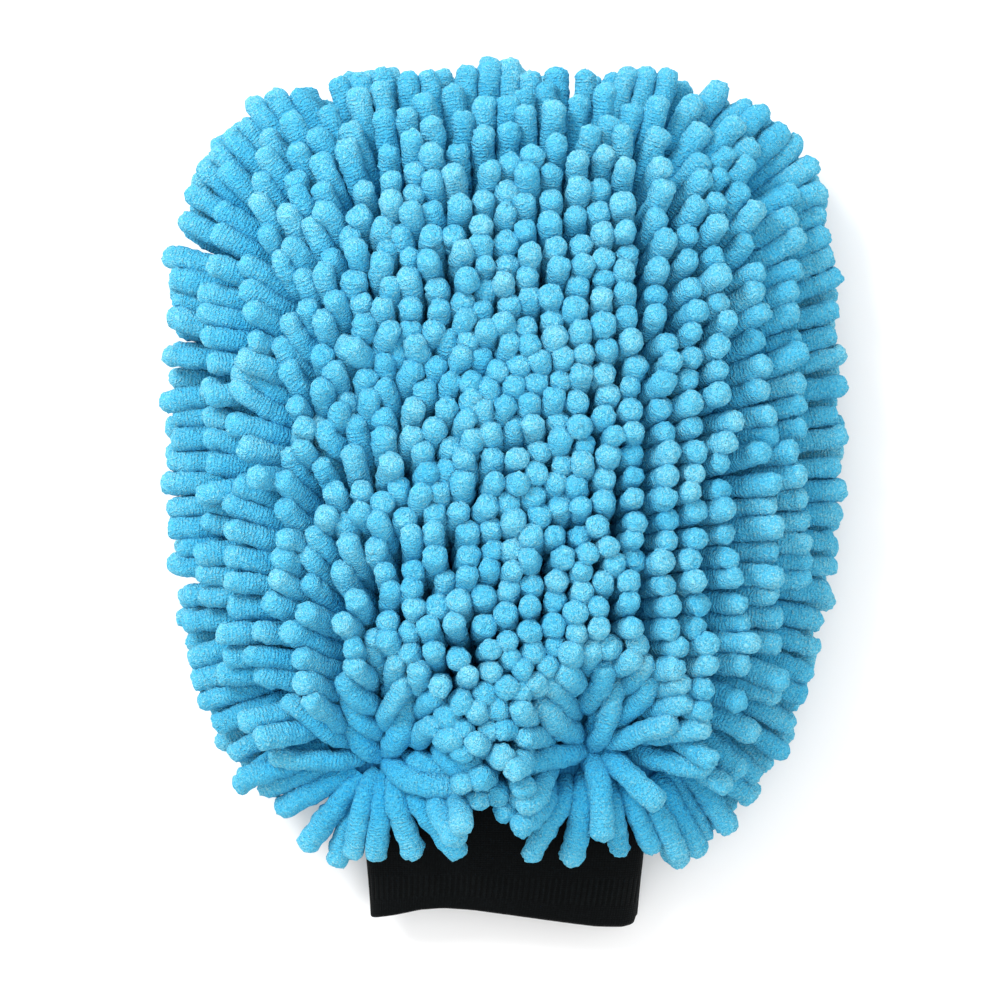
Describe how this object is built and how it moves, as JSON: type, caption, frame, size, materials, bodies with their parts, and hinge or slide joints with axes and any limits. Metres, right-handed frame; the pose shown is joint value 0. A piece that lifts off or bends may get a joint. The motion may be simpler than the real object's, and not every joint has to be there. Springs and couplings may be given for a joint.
{
  "type": "wash mitt",
  "caption": "Hand-sized wash mitt: a cloth pouch covered on both faces with chenille noodles, closed by an elasticated rib-knit wrist cuff.",
  "frame": {"origin": "middle of the mitt's length and width, on the surface that its back face lies on", "axes": "+Y from the cuff towards the fingertips, +Z through the mitt's thickness from the back face to the front face, +X across it"},
  "size_m": [0.205, 0.2624, 0.0701],
  "materials": {
    "chenille": "matte",
    "backing_knit": "matte",
    "lining_mesh": "matte",
    "seam_thread": "matte",
    "rib_knit": "matte",
    "elastic": "matte",
    "cuff_thread": "matte"
  },
  "bodies": {
    "palm": {"front_backing": "backing_knit", "back_backing": "backing_knit", "front_lining": "lining_mesh", "back_lining": "lining_mesh", "edge_seam": "seam_thread", "cuff_seam": "cuff_thread", "front_row_01": "chenille", "front_row_02": "chenille", "front_row_03": "chenille", "front_row_04": "chenille", "front_row_05": "chenille", "front_row_06": "chenille", "front_row_07": "chenille", "front_row_08": "chenille", "front_row_09": "chenille", "front_row_10": "chenille", "front_row_11": "chenille", "front_row_12": "chenille", "front_row_13": "chenille", "back_row_01": "chenille", "back_row_02": "chenille", "back_row_03": "chenille", "back_row_04": "chenille", "back_row_05": "chenille", "back_row_06": "chenille", "back_row_07": "chenille", "back_row_08": "chenille", "back_row_09": "chenille", "back_row_10": "chenille", "back_row_11": "chenille", "back_row_12": "chenille", "back_row_13": "chenille"},
    "fingers": {"front_row_14": "chenille", "front_row_15": "chenille", "front_row_16": "chenille", "front_row_17": "chenille", "front_row_18": "chenille", "front_row_19": "chenille", "front_row_20": "chenille", "front_row_21": "chenille", "front_row_22": "chenille", "front_row_23": "chenille", "front_row_24": "chenille", "back_row_14": "chenille", "back_row_15": "chenille", "back_row_16": "chenille", "back_row_17": "chenille", "back_row_18": "chenille", "back_row_19": "chenille", "back_row_20": "chenille", "back_row_21": "chenille", "back_row_22": "chenille", "back_row_23": "chenille", "back_row_24": "chenille"},
    "cuff_upper_half": {"cuff_front": "rib_knit", "wrist_elastic_front": "elastic"},
    "cuff_lower_half": {"cuff_back": "rib_knit", "wrist_elastic_back": "elastic"}
  },
  "joints": [
    {"name": "knuckle_bend", "type": "hinge", "parent": "palm", "child": "fingers", "pos_m": [0, 0.01854, 0.027], "axis": [1, 0, 0], "range_deg": [-45, 45], "deforming": ["front_backing", "back_backing", "front_lining", "back_lining", "edge_seam", "front_row_11", "front_row_12", "front_row_13", "front_row_14", "front_row_15", "front_row_16", "back_row_11", "back_row_12", "back_row_13", "back_row_14", "back_row_15", "back_row_16"]},
    {"name": "cuff_fold", "type": "hinge", "parent": "palm", "child": "cuff_upper_half", "pos_m": [0, -0.0879, 0.0275], "axis": [-1, 0, 0], "range_deg": [-20, 60], "deforming": ["cuff_seam", "front_row_01", "front_row_02", "back_row_01", "back_row_02"]},
    {"name": "cuff_open", "type": "hinge", "parent": "cuff_upper_half", "child": "cuff_lower_half", "pos_m": [0, -0.0879, 0.0275], "axis": [1, 0, 0], "range_deg": [0, 25]}
  ]
}
